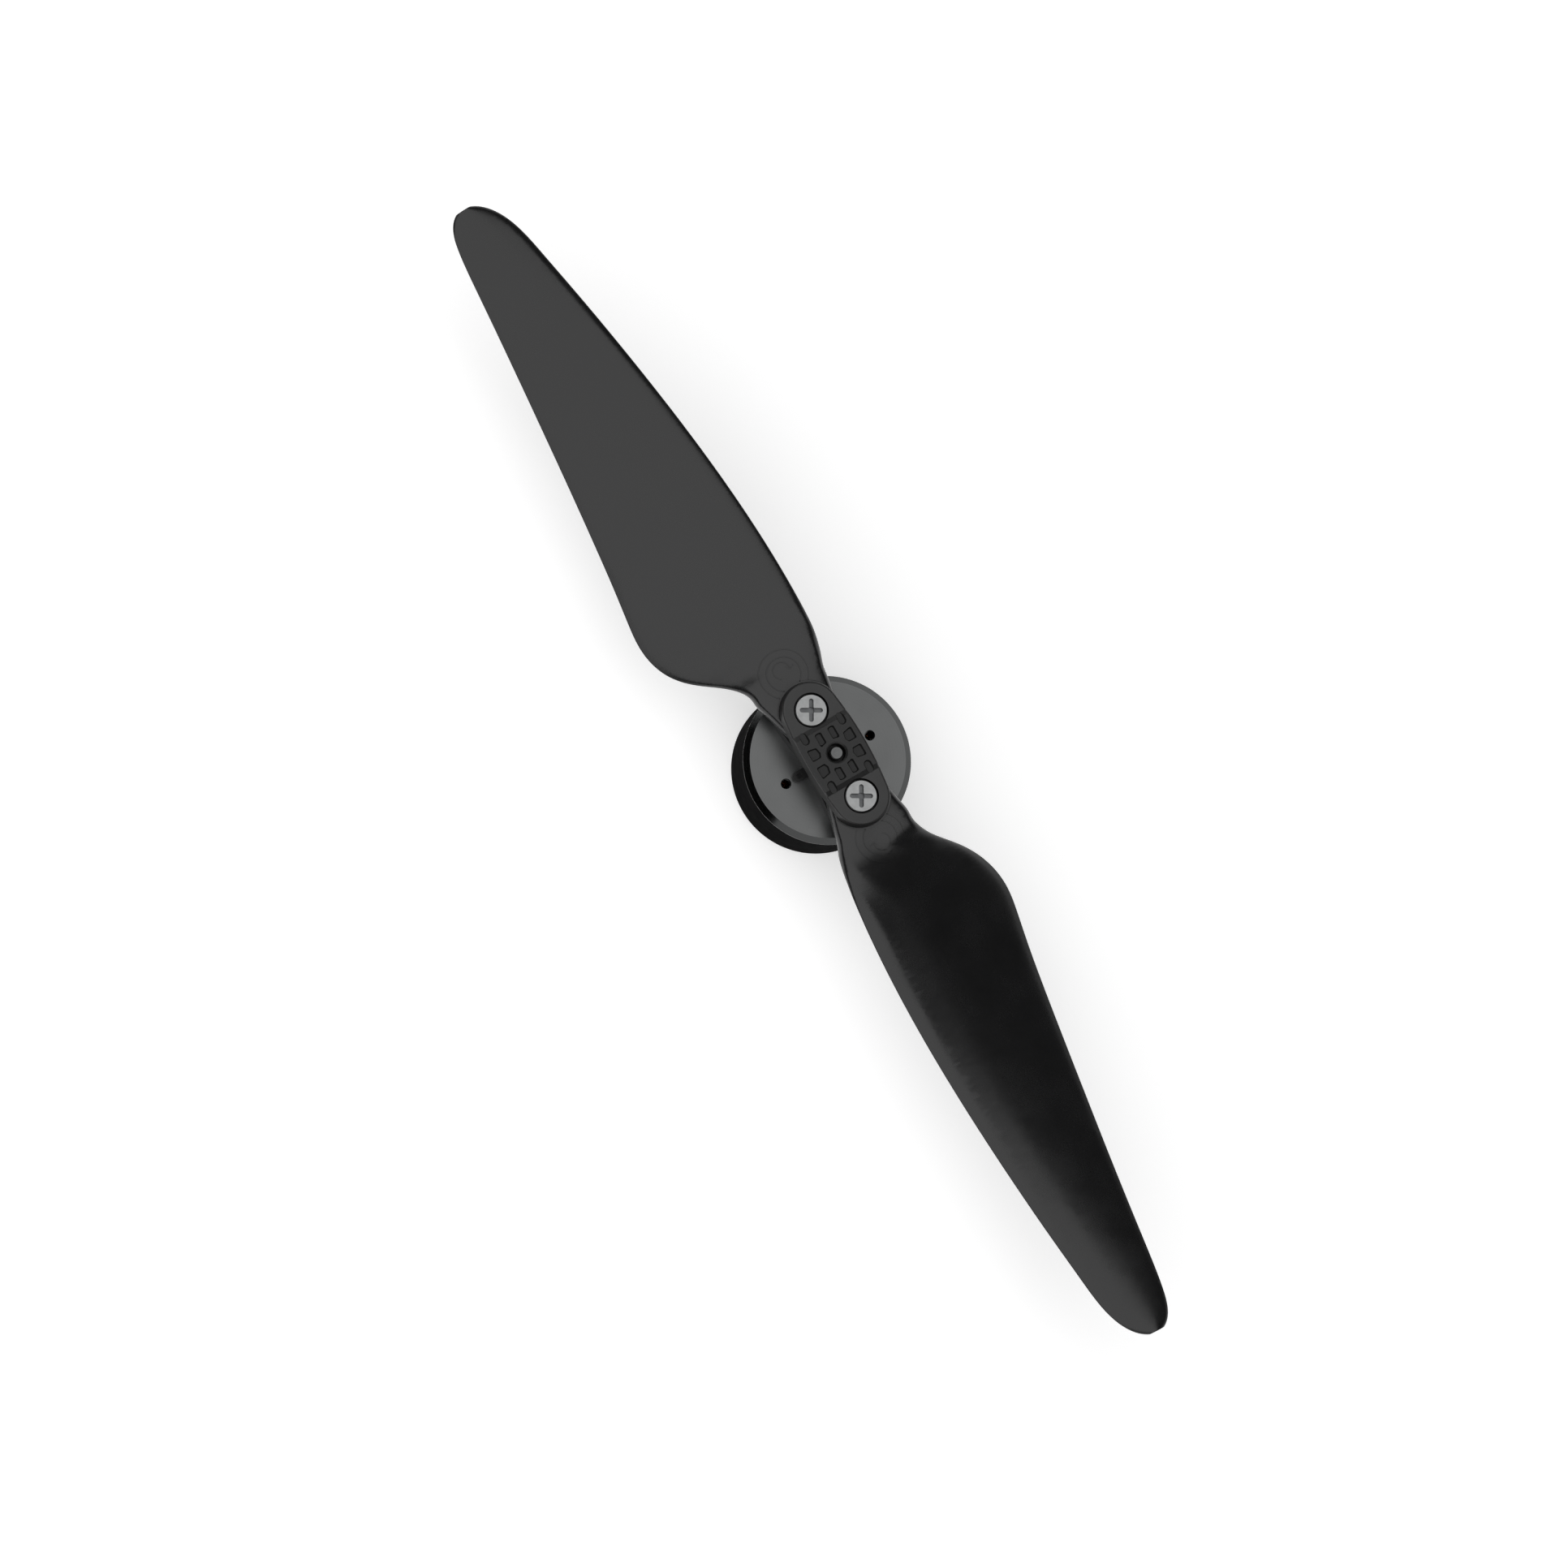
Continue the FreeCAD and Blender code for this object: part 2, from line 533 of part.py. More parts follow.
def make_hub_cap():
    """Upper clamp: two round pads over the blade eyes and a raised lattice panel between."""
    body = new_body("hub_cap")
    spare = mm.cap_half_width - mm.cap_pad_radius
    drop = (mm.pivot_offset.value ** 2 - spare.value ** 2) / (2 * spare.value)
    reach = math.hypot(mm.pivot_offset.value, drop)
    join_x = mm.pivot_offset + mm.cap_pad_radius * round(mm.pivot_offset.value / reach, 6)
    join_y = mm.cap_pad_radius * round(drop / reach, 6)
    end = mm.pivot_offset + mm.cap_pad_radius
    outline = new_sketch(body, "cap_outline", height=panel_top)
    draw_outline(outline, (join_x, -join_y), ((end, ZERO), (join_x, join_y)),
                 ((ZERO, mm.cap_half_width), (-join_x, join_y)), ((-end, ZERO), (-join_x, -join_y)),
                 ((ZERO, -mm.cap_half_width), (join_x, -join_y)))
    pad(body, outline, panel_top - cap_underside, Reversed=True, TaperAngle=mm.cap_draft.value)
    # the ends step down from the panel by a short slope
    steps = new_sketch(body, "end_steps", "XZ_Plane")
    clear = end + mm.overcut
    above = panel_top + mm.overcut
    step = [(mm.panel_half_length, panel_top), (mm.panel_half_length + mm.panel_slope, pad_top),
            (clear, pad_top), (clear, above), (mm.panel_half_length, above)]
    for side in (1, -1):
        draw_outline(steps, *mirrored(step, side, 1))
    step_cut = pocket(body, steps, Midplane=True)
    far_side = mm.cap_half_width.value * 0.8
    far_end = end.value * 0.98
    body.Tip = round_edges(body, step_cut, "rim_round", mm.cap_edge_round, lambda at: (
        at.z > pad_top.value - TOUCH and (abs(at.y) > far_side or abs(at.x) > far_end)))
    seats = new_sketch(body, "head_seats", height=panel_top)
    for side in (1, -1):
        draw_circle(seats, (mm.pivot_offset * side, ZERO), mm.counterbore_radius)
    pocket(body, seats, panel_top - head_seat)
    holes = draw_circle(new_sketch(body, "cap_holes", height=panel_top), (ZERO, ZERO), mm.hub_hole_radius)
    for side in (1, -1):
        draw_circle(holes, (mm.pivot_offset * side, ZERO), mm.clearance_radius)
    drilled = pocket(body, holes)
    ring = body.newObject("PartDesign::Chamfer", "hub_hole_ring")
    mouth = [f"Edge{number}" for number, edge in enumerate(drilled.Shape.Edges, start=1)
             if abs(edge.BoundBox.XLength - 2 * mm.hub_hole_radius.value) < TOUCH
             and edge.BoundBox.ZMin > panel_top.value - TOUCH]
    ring.Base = (drilled, mouth)
    ring.setExpression("Size", (mm.hub_hole_ring - mm.hub_hole_radius).text)
    doc.recompute()
    lattice = new_sketch(body, "lattice_pockets", height=panel_top)
    for x_sign in (1, -1):
        for y_sign in (1, -1):
            for outline_points in panel_pockets():
                draw_outline(lattice, *mirrored(outline_points, x_sign, y_sign))
    cells = pocket(body, lattice, mm.pocket_depth, TaperAngle=-mm.pocket_draft.value)
    body.Tip = round_edges(body, cells, "pocket_round", mm.pocket_corner, lambda at: (
        panel_top.value - mm.pocket_depth.value + TOUCH < at.z < panel_top.value - TOUCH
        and abs(at.x) < mm.cell_tip.value + TOUCH and abs(at.y) < mm.side_far.value + TOUCH
        and math.hypot(at.x, at.y) > mm.hub_hole_ring.value + TOUCH))


def make_pivot_screw(side, label):
    """Cross-head M2 screw through cap, sleeve and plate into the bell's tapped hole."""
    body = new_body(label)
    thread_end = mm.bell_top - mm.screw_engaged
    turned(body, label + "_profile",
           (ZERO, thread_end), (mm.tapped_radius - mm.thread_chamfer, thread_end),
           (mm.tapped_radius, thread_end + mm.thread_chamfer), (mm.tapped_radius, mm.bell_top),
           (mm.shaft_radius, mm.bell_top + mm.thread_chamfer),
           (mm.shaft_radius, head_seat), (mm.head_radius, head_seat),
           (mm.head_radius, head_top - mm.head_chamfer), (mm.head_radius - mm.head_chamfer, head_top),
           (ZERO, head_top))
    half = mm.recess_width / 2
    straight = mm.recess_reach - half
    arm = [(-straight, -half), (straight, -half), ((mm.recess_reach, ZERO), (straight, half)),
           (-straight, half), ((-mm.recess_reach, ZERO), (-straight, -half))]
    crossed = [((step[0][1], step[0][0]), (step[1][1], step[1][0])) if isinstance(step[0], tuple)
               else (step[1], step[0]) for step in arm]
    for name, points in (("_arm_1", arm), ("_arm_2", crossed)):
        slot = draw_outline(new_sketch(body, label + name, height=head_top), *points)
        pocket(body, slot, mm.recess_depth)
    well = draw_circle(new_sketch(body, label + "_well", height=head_top), (ZERO, ZERO), mm.recess_well)
    pocket(body, well, mm.recess_centre)
    body.Placement = Placement(Vector(), Rotation(Vector(0, 0, 1), mm.recess_turn.value))
    bind(body, Placement_x=mm.pivot_offset * side)


def make_pivot_fittings(side, letter):
    """Sleeve that a blade eye turns on, and the friction washers each side of the eye."""
    at = mm.pivot_offset * side
    name = f"pivot_sleeve_{letter}"
    keep(tube(name, mm.sleeve_radius, mm.sleeve_bore, cap_underside - plate_top, plate_top, at), name)
    for level, z in (("lower", plate_top), ("upper", cap_underside - mm.washer_thick)):
        name = f"friction_washer_{letter}_{level}"
        keep(tube(name, mm.washer_radius, mm.sleeve_radius, mm.washer_thick, z, at), name)


# ---------------------------------------------------------------- blades
# The planform, looking down: x from the pivot to the tip, y towards the trailing edge.
LEADING = [(5, -6.03), (8, -7.05), (14, -7.9), (25, -8.36), (40, -7.95), (55, -6.7), (70, -4.9),
           (80, -3.45), (86, -2.1), (88.8, -0.6), (90.25, 0.85), (91.1, 3.0)]
TRAILING = [(5, 6.03), (7, 6.3), (9, 7.5), (12, 10.6), (15, 13.2), (18, 14.6), (21.5, 15.15), (27, 14.5),
            (38, 12.8), (55, 10.6), (70, 8.8), (80, 7.7), (86, 6.9), (88.8, 6.1), (90.25, 5.1), (91.1, 3.0)]
# pitch in degrees and thickness at stations along the blade
PITCH = [(5, 0), (6.5, 1.3), (8, 6), (10, 11.8), (12, 15.3), (15, 17.1), (20, 16.2), (30, 15), (50, 12.3),
         (70, 9), (84, 4.6), (92, 2.5)]
THICKNESS = [(5, 2.9), (8, 2.65), (14, 2.1), (25, 1.7), (50, 1.35), (80, 1.0), (92, 0.7)]
STATIONS = [-4.75, -4.4, -3.6, -2.4, -1, 1, 3, 5, 6.2, 7.6, 9.2, 11, 12.5, 14, 16, 18, 20, 22.5, 26, 31, 38,
            46, 55, 64, 72, 79, 83.5, 86.5, 88.4, 89.6, 90.35, 90.8]


def spline_through(points):
    curve = Part.BSplineCurve()
    curve.interpolate([Vector(x, y, 0) for x, y in points])
    return curve


def height_at(curve, x):
    """The y of a left-to-right curve at x, by halving."""
    low, high = curve.FirstParameter, curve.LastParameter
    for _ in range(50):
        middle = (low + high) / 2
        if curve.value(middle).x < x:
            low = middle
        else:
            high = middle
    return curve.value(low).y


def eased(share):
    """A smooth step from 0 to 1, level at both ends."""
    share = min(1.0, max(0.0, share))
    return share ** 2 * (3 - 2 * share)


def blade_section(x, curves):
    """A closed section across the blade: a flat slab at the eye, an aerofoil further out."""
    start = mm.twist_start.value
    if x < start:
        spread = math.radians(mm.neck_spread.value)
        radius = mm.eye_radius.value
        touch = -radius * math.sin(spread)
        if x < touch:
            trailing = math.sqrt(radius ** 2 - x ** 2)
        else:
            trailing = radius * math.cos(spread) + (x - touch) * math.tan(spread)
        leading = -trailing
        pitch = rise = 0.0
        thick = mm.eye_thick.value / 2 + mm.face_depth.value
    else:
        leading, trailing = height_at(curves.leading, x), height_at(curves.trailing, x)
        pitch = math.tan(math.radians(height_at(curves.pitch, x)))
        rise = mm.leading_rise.value * eased((x - start) / mm.rise_length.value)
        rise += (x - start) * math.tan(math.radians(mm.cone_angle.value))
        thick = height_at(curves.thickness, x) / 2
    half_chord = (trailing - leading) / 2
    centre = (trailing + leading) / 2
    aerofoil = eased((x - start) / mm.aerofoil_length.value)
    # the length of each rounded end, as a share of the half chord
    ends = (1 - aerofoil) * min(0.9, mm.slab_end_round.value / half_chord) + aerofoil * 0.95
    thick = min(thick, half_chord * 0.8)
    quarter = [math.pi / 2 * step / 4 for step in range(5)]
    right = [(1 - ends + ends * math.cos(angle), math.sin(angle)) for angle in quarter]
    top = right + [(0.0, 1.0)] + [(-u, v) for u, v in reversed(right)]
    around = top + [(u, -v) for u, v in reversed(top[1:-1])]
    points = []
    for u, v in around:
        y = centre + half_chord * u
        thinner = 1 - mm.edge_thinning.value * aerofoil * u
        camber = mm.camber.value * aerofoil * (1 - u * u)
        points.append(Vector(x, y, rise - pitch * (y - leading) + thick * thinner * v + camber))
    curve = Part.BSplineCurve()
    curve.interpolate(Points=points, PeriodicFlag=True)
    return Part.Wire([curve.toShape()])


def make_blade(side, letter):
    """Moulded blade, one smooth loft from its root eye to its tip, bored for the sleeve."""
    curves = SimpleNamespace(leading=spline_through(LEADING), trailing=spline_through(TRAILING),
                             pitch=spline_through(PITCH), thickness=spline_through(THICKNESS))
    stations = [x for x in STATIONS if x < mm.blade_reach.value]
    blade = Part.makeLoft([blade_section(x, curves) for x in stations], True, False)
    thick = mm.eye_thick.value
    bore = Part.makeCylinder(mm.eye_bore.value, 2 * thick, Vector(0, 0, -thick))
    # the eye is faced flat above and below, where the friction washers run
    faced = mm.eye_radius.value + mm.eye_play.value
    above = Part.makeCylinder(faced, thick, Vector(0, 0, thick / 2))
    below = Part.makeCylinder(faced, thick, Vector(0, 0, -1.5 * thick))
    part = doc.addObject("Part::Feature", f"blade_{letter}")
    part.Shape = blade.cut([bore, above, below])
    sweep = mm.blade_sweep.value
    yaw = (sweep if side > 0 else 180 - sweep) - mm.blade_lag.value
    middle = (eye_bottom.value + eye_top.value) / 2
    part.Placement = Placement(Vector(side * mm.pivot_offset.value, 0, middle),
                               Rotation(Vector(0, 0, 1), yaw))
    keep(part, f"blade_{letter}")


# ---------------------------------------------------------------- the whole propeller
make_motor_base()
make_bearing("lower", mm.lower_bearing_z)
make_bearing("upper", upper_bearing_z)
make_stator_core()
make_windings()
make_shaft()
make_retaining_clip()
make_shims()
make_bell_cap()
make_flux_ring()
make_magnets()
make_hub_base()
make_hub_cap()
for blade_side, blade_letter in ((1, "a"), (-1, "b")):
    make_pivot_screw(blade_side, f"pivot_screw_{blade_letter}")
    make_pivot_fittings(blade_side, blade_letter)
    make_blade(blade_side, blade_letter)
doc.recompute()

faults = [f"{item.Label}: {item.State}" for item in doc.Objects
          if {"Invalid", "Error"} & set(item.State)]
faults += [f"{part.Label}: empty or invalid shape" for part in subparts
           if part.Shape.isNull() or not part.Shape.isValid() or not part.Shape.Solids]
if faults:
    raise SystemExit("\n".join(faults))
os.makedirs("parts", exist_ok=True)
for part in subparts:
    part.Shape.exportStep(f"parts/{part.Label}.step")
print(len(subparts), "sub-parts written")
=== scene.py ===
import json
import math

import bmesh
import bpy
from mathutils import Matrix, Vector
from mathutils.bvhtree import BVHTree


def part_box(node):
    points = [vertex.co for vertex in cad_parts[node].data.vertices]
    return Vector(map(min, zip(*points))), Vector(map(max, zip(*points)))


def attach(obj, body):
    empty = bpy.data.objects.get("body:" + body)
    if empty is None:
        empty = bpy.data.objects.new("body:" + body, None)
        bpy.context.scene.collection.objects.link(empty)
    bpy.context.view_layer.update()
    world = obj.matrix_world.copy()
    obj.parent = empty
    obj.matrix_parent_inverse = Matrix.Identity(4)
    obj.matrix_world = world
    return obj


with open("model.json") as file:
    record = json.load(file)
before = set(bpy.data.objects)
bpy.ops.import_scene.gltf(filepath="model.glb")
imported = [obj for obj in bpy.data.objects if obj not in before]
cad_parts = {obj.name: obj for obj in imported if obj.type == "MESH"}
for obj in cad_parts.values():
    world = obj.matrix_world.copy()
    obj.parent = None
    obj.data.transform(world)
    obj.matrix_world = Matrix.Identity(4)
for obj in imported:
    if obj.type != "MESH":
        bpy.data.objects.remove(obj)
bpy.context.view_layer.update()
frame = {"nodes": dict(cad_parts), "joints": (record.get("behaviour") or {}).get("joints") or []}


# Motor base: a turned and bead-blasted aluminium foot with the bearing tube that the whole
# motor is built on. Four screws hold it on the aircraft's arm, and the coil wires leave
# through its slots.
MM = 0.001


def linear(colour):
    """An sRGB hex colour as linear red, green, blue and alpha."""
    shares = [int(colour[at:at + 2], 16) / 255 for at in (1, 3, 5)]
    return [share / 12.92 if share <= 0.04045 else ((share + 0.055) / 1.055) ** 2.4
            for share in shares] + [1]


def socket(sockets, name):
    """A socket by its identifier or its name."""
    return next(each for each in sockets if name in (each.identifier, each.name))


def add(tree, kind, settings=None, links=None):
    """Adds a node to a tree, with its settings and the outputs that feed it."""
    node = tree.nodes.new("ShaderNode" + kind)
    for name, setting in (settings or {}).items():
        if name in node.bl_rna.properties:
            setattr(node, name, setting)
        else:
            socket(node.inputs, name).default_value = setting
    for name, source in (links or {}).items():
        tree.links.new(source, socket(node.inputs, name))
    return node


def new_material(name, **finish):
    """A material and its shader, with what is the same all over set on the shader."""
    material = bpy.data.materials.new(name)
    material.use_nodes = True
    shader = material.node_tree.nodes["Principled BSDF"]
    for setting, amount in finish.items():
        socket(shader.inputs, setting.replace("_", " ")).default_value = amount
    return material, material.node_tree, shader


def dress(material, *names):
    """Gives CAD nodes their finish."""
    for name in names:
        finish = frame["nodes"][name].data.materials
        finish.clear()
        finish.append(material)


def uneven(tree, shader, input_name, low, high, size):
    """Lets one of the shader's inputs drift between two values over patches of a real size."""
    place = add(tree, "TexCoord").outputs["Object"]
    patches = add(tree, "TexNoise", {"Scale": 1 / size, "Detail": 3.0}, {"Vector": place})
    drift = add(tree, "MapRange", {"From Min": 0.3, "From Max": 0.7, "To Min": low, "To Max": high},
                {"Value": patches.outputs["Fac"]})
    tree.links.new(drift.outputs["Result"], shader.inputs[input_name])


def textured(tree, shader, pattern, dark, light, depth, strength):
    """Lets one pattern drive both the surface's tone, between two colours, and its relief."""
    tone = add(tree, "Mix", {"data_type": "RGBA", "A_Color": linear(dark), "B_Color": linear(light)},
               {"Factor_Float": pattern})
    tree.links.new(socket(tone.outputs, "Result_Color"), shader.inputs["Base Color"])
    relief = add(tree, "Bump", {"Strength": strength, "Distance": depth}, {"Height": pattern})
    tree.links.new(relief.outputs["Normal"], shader.inputs["Normal"])


# Bead-blasted, clear-anodised aluminium: a soft grey metal whose sparkle is broken up by
# 0.25 mm dimples, with only a hint of the lathe's rings below them.
blasted_aluminium, tree, shader = new_material("blasted_aluminium", Metallic=1.0)
place = add(tree, "TexCoord").outputs["Object"]
dimples = add(tree, "TexNoise", {"Scale": 1 / (0.25 * MM), "Detail": 2.0}, {"Vector": place})
textured(tree, shader, dimples.outputs["Fac"], "#7d8083", "#8d9093", depth=0.02 * MM, strength=0.25)
uneven(tree, shader, "Roughness", 0.38, 0.5, 2 * MM)
dress(blasted_aluminium, "motor_base")


# Bearings, shaft, washers and clip: hardened bearing steel, ground to size. Two ball
# bearings are pressed into the tube, and the shaft is held in them by an E-clip and shims.
def spin_radius(tree):
    """Distance of a point from the motor's axis, in metres."""
    place = add(tree, "TexCoord").outputs["Object"]
    flat = add(tree, "VectorMath", {"operation": "MULTIPLY", "Vector_001": (1, 1, 0)},
               {"Vector": place})
    distance = add(tree, "VectorMath", {"operation": "LENGTH"}, {"Vector": flat.outputs["Vector"]})
    return distance.outputs["Value"]


ground_steel, tree, shader = new_material("ground_steel", Metallic=1.0, Anisotropic=0.3)
# grinding leaves fine rings round the axis, drawn 0.15 mm apart so that they show
rings = add(tree, "TexNoise", {"noise_dimensions": "1D", "Scale": 1 / (0.15 * MM), "Detail": 2.0},
            {"W": spin_radius(tree)})
textured(tree, shader, rings.outputs["Fac"], "#585959", "#666767", depth=0.01 * MM, strength=0.12)
uneven(tree, shader, "Roughness", 0.2, 0.32, 0.8 * MM)
dress(ground_steel, "motor_shaft", "retaining_clip", "shim_washer_lower", "shim_washer_upper",
      *(name for name in frame["nodes"] if "_bearing_" in name))


# Stator core: thin silicon-steel laminations stacked and dipped in green epoxy powder,
# which keeps the wire off the iron. It is pressed onto the bearing tube.
epoxy_coated_laminations, tree, shader = new_material("epoxy_coated_laminations", IOR=1.55)
LAMINATION = 0.35 * MM
height = add(tree, "SeparateXYZ", links={"Vector": add(tree, "TexCoord").outputs["Object"]}).outputs["Z"]
layer = add(tree, "Math", {"operation": "PINGPONG", "Value_001": LAMINATION / 2}, {"Value": height})
seam = add(tree, "MapRange", {"From Max": LAMINATION / 6}, {"Value": layer.outputs["Value"]})
textured(tree, shader, seam.outputs["Result"], "#12251c", "#23483a", depth=0.04 * MM, strength=0.4)
uneven(tree, shader, "Roughness", 0.35, 0.5, 1.5 * MM)
dress(epoxy_coated_laminations, "stator_core")


# Windings: nine coils of 0.35 mm enamelled copper wire, wound turn beside turn round the
# teeth. The enamel is a clear brown varnish over bright metal.
enamelled_copper, tree, shader = new_material("enamelled_copper", Metallic=1.0, Coat_Weight=0.6,
                                              Coat_Roughness=0.15, Coat_IOR=1.6)
WIRE = 0.35 * MM
TOOTH_TURN = 2 * math.pi / sum(name.startswith("winding_") for name in frame["nodes"])
# the turns lie across each tooth, so they are counted along the tooth's own line
corner = add(tree, "SeparateXYZ", links={"Vector": add(tree, "TexCoord").outputs["Object"]})
bearing = add(tree, "Math", {"operation": "ARCTAN2"},
              {"Value": corner.outputs["Y"], "Value_001": corner.outputs["X"]}).outputs["Value"]
tooth = add(tree, "Math", {"operation": "WRAP", "Value_001": TOOTH_TURN / 2, "Value_002": -TOOTH_TURN / 2},
            {"Value": bearing})
lean = add(tree, "Math", {"operation": "COSINE"}, {"Value": tooth.outputs["Value"]})
along = add(tree, "Math", {"operation": "MULTIPLY"},
            {"Value": spin_radius(tree), "Value_001": lean.outputs["Value"]})
turn = add(tree, "Math", {"operation": "PINGPONG", "Value_001": WIRE / 2},
           {"Value": along.outputs["Value"]})
crown_and_groove_shade = add(tree, "MapRange", {"interpolation_type": "SMOOTHERSTEP", "From Max": WIRE / 2},
            {"Value": turn.outputs["Value"]})
# the crown pattern also paints the grooves between turns dark and the crowns bright: a painted shade
# between the turns, on top of their relief
textured(tree, shader, crown_and_groove_shade.outputs["Result"], "#4a1f0c", "#b4673a", depth=WIRE / 2, strength=0.7)
uneven(tree, shader, "Roughness", 0.22, 0.38, 1 * MM)
dress(enamelled_copper, *(name for name in frame["nodes"] if name.startswith("winding_")))


# Bell top: an aluminium cap turned from bar and grey anodised. The chamfer was cut with a keener tool, so
# it mirrors the room;
# its colour is painted a shade darker than the satin face, a painted shade for the dark that it reflects.
FEED_TONE, FEED_ROUGHNESS = 0.5, 0.05
CHAMFER_ROUGHNESS, FACE_ROUGHNESS = 0.14, 0.3
# how steeply the true normal rises: less than the first on the chamfer, more than the
# second on the flat face
CHAMFER_RISE, FACE_RISE = 0.85, 0.95
turned_aluminium, tree, shader = new_material("turned_aluminium", Metallic=1.0)
# the tool's feed is 0.1 mm a turn, drawn at 0.22 mm so that it shows
feed = add(tree, "TexNoise", {"noise_dimensions": "1D", "Scale": 1 / (0.22 * MM), "Detail": 1.0},
           {"W": spin_radius(tree)})
bloom = add(tree, "TexNoise", {"Scale": 1 / (5 * MM), "Detail": 2.0},
            {"Vector": add(tree, "TexCoord").outputs["Object"]})
shade = add(tree, "Math", {"operation": "MULTIPLY_ADD", "Value_001": FEED_TONE},
            {"Value": feed.outputs["Fac"], "Value_002": bloom.outputs["Fac"]})
tone = add(tree, "Mix", {"data_type": "RGBA", "A_Color": linear("#5d5e5e"), "B_Color": linear("#666767")},
           {"Factor_Float": shade.outputs["Value"]})
facing = add(tree, "SeparateXYZ", links={"Vector": add(tree, "NewGeometry").outputs["True Normal"]})
level = add(tree, "MapRange", {"From Min": CHAMFER_RISE, "From Max": FACE_RISE},
            {"Value": facing.outputs["Z"]})
# the chamfer's colour is painted darker where the surface rises less steeply: a painted shade
chamfer_painted_shade = add(tree, "Mix", {"data_type": "RGBA", "A_Color": linear("#4b4c4c")},
            {"Factor_Float": level.outputs["Result"], "B_Color": socket(tone.outputs, "Result_Color")})
tree.links.new(socket(chamfer_painted_shade.outputs, "Result_Color"), shader.inputs["Base Color"])
satin = add(tree, "MapRange", {"From Min": CHAMFER_RISE, "From Max": FACE_RISE,
                               "To Min": CHAMFER_ROUGHNESS, "To Max": FACE_ROUGHNESS},
            {"Value": facing.outputs["Z"]})
worn = add(tree, "Math", {"operation": "MULTIPLY_ADD", "Value_001": FEED_ROUGHNESS},
           {"Value": feed.outputs["Fac"], "Value_002": satin.outputs["Result"]})
tree.links.new(worn.outputs["Value"], shader.inputs["Roughness"])
grooves = add(tree, "Bump", {"Strength": 0.08, "Distance": 0.01 * MM}, {"Height": feed.outputs["Fac"]})
tree.links.new(grooves.outputs["Normal"], shader.inputs["Normal"])
dress(turned_aluminium, "bell_cap")


def bar(mesh, rows):
    """Faces of a solid bar, from the corners of its section at each step along it."""
    for one, two in zip(rows, rows[1:]):
        for index in range(len(one)):
            after = (index + 1) % len(one)
            mesh.faces.new((one[index], one[after], two[after], two[index]))
    mesh.faces.new(rows[0])
    mesh.faces.new(rows[-1])


def new_piece(name, mesh, material):
    """An object made from a finished mesh, with its material."""
    data = bpy.data.meshes.new(name)
    mesh.to_mesh(data)
    mesh.free()
    data.materials.append(material)
    piece = bpy.data.objects.new(name, data)
    bpy.context.scene.collection.objects.link(piece)
    return piece


# the two tapped holes that the hub leaves open; the cap's own holes are plain, at the
# tapping size, so the crests of the M2 thread are drawn standing a little inside them
HOLE_OFFSET, HOLE_RADIUS, HOLE_DEPTH = 7.4 * MM, 0.8 * MM, 3.0 * MM
THREAD_PITCH, THREAD_CREST = 0.4 * MM, 0.17 * MM
THREAD_FOOT, THREAD_BURIED = 0.3 * MM, 0.02 * MM
TURN_STEPS = 32
# the thread's section is a triangle whose foot is buried in the hole's wall
CREST_SECTION = ((HOLE_RADIUS + THREAD_BURIED, THREAD_FOOT / 2), (HOLE_RADIUS - THREAD_CREST, 0),
                 (HOLE_RADIUS + THREAD_BURIED, -THREAD_FOOT / 2))
bell_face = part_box("bell_cap")[1].z
steps = round((HOLE_DEPTH - THREAD_PITCH) / THREAD_PITCH * TURN_STEPS)
for side, name in ((1, "thread_crests_right"), (-1, "thread_crests_left")):
    mesh = bmesh.new()
    rows = []
    for step in range(steps + 1):
        turn = 2 * math.pi * step / TURN_STEPS
        height = bell_face - THREAD_PITCH * (0.5 + step / TURN_STEPS)
        rows.append([mesh.verts.new((reach * math.cos(turn), side * HOLE_OFFSET + reach * math.sin(turn),
                                     height + lift)) for reach, lift in CREST_SECTION])
    bar(mesh, rows)
    bmesh.ops.recalc_face_normals(mesh, faces=mesh.faces)
    crests = new_piece(name, mesh, turned_aluminium)
    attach(crests, "rotor")


# Flux ring: the bell's steel wall, dip-coated in matt black electrocoat 0.02 mm thick.
# The coat is dead matt and has the fine orange peel of a stoved paint.
black_electrocoat, tree, shader = new_material("black_electrocoat", Specular_IOR_Level=0.01)
place = add(tree, "TexCoord").outputs["Object"]
peel = add(tree, "TexNoise", {"Scale": 1 / (0.5 * MM), "Detail": 2.0}, {"Vector": place})
textured(tree, shader, peel.outputs["Fac"], "#070707", "#0d0d0e", depth=0.02 * MM, strength=0.15)
uneven(tree, shader, "Roughness", 0.8, 0.9, 1.5 * MM)
dress(black_electrocoat, "flux_ring")


# Magnets: twelve curved neodymium blocks glued inside the flux ring, nickel plated against
# rust. The plating is bright with a slight waviness from the pressed powder below.
nickel_plate, tree, shader = new_material("nickel_plate", Metallic=1.0)
place = add(tree, "TexCoord").outputs["Object"]
waves = add(tree, "TexNoise", {"Scale": 1 / (1.2 * MM), "Detail": 3.0}, {"Vector": place})
textured(tree, shader, waves.outputs["Fac"], "#a39e92", "#bdb8ab", depth=0.02 * MM, strength=0.15)
uneven(tree, shader, "Roughness", 0.14, 0.28, 0.6 * MM)
dress(nickel_plate, *(name for name in frame["nodes"] if name.startswith("magnet_")))


# Pivot fittings: steel sleeves that the screws clamp, and PTFE washers above and below
# each blade eye, which let the blade turn with a little friction and no play.
dress(ground_steel, "pivot_sleeve_a", "pivot_sleeve_b")
skived_ptfe, tree, shader = new_material("skived_ptfe", IOR=1.38, Subsurface_Weight=0.3,
                                         Subsurface_Scale=0.4 * MM)
place = add(tree, "TexCoord").outputs["Object"]
